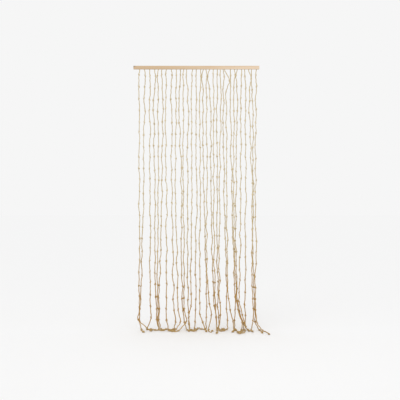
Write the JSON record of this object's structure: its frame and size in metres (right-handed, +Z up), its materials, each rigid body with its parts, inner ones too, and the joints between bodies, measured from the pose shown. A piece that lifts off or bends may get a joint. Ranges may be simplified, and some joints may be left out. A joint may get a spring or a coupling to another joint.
{
  "type": "knotted door curtain with wooden bar",
  "caption": "Door curtain of knotted jute cords hanging free from a plain wooden bar, drawn into loose bundles near the floor, with short tails lying on it.",
  "frame": {"origin": "centre of the bar's back face, which lies on the wall or door frame that holds it", "axes": "+Z up along the cords' hang, +Y out of the bar's back into the wall, +X to the right as seen from the room"},
  "size_m": [0.9594, 0.2013, 1.893],
  "materials": {
    "wood": "pale bare wood, planed smooth",
    "jute": "matt natural jute, three plies, slightly hairy"
  },
  "bodies": {
    "root": {"bar": "wood", "strands": "jute"}
  },
  "joints": []
}
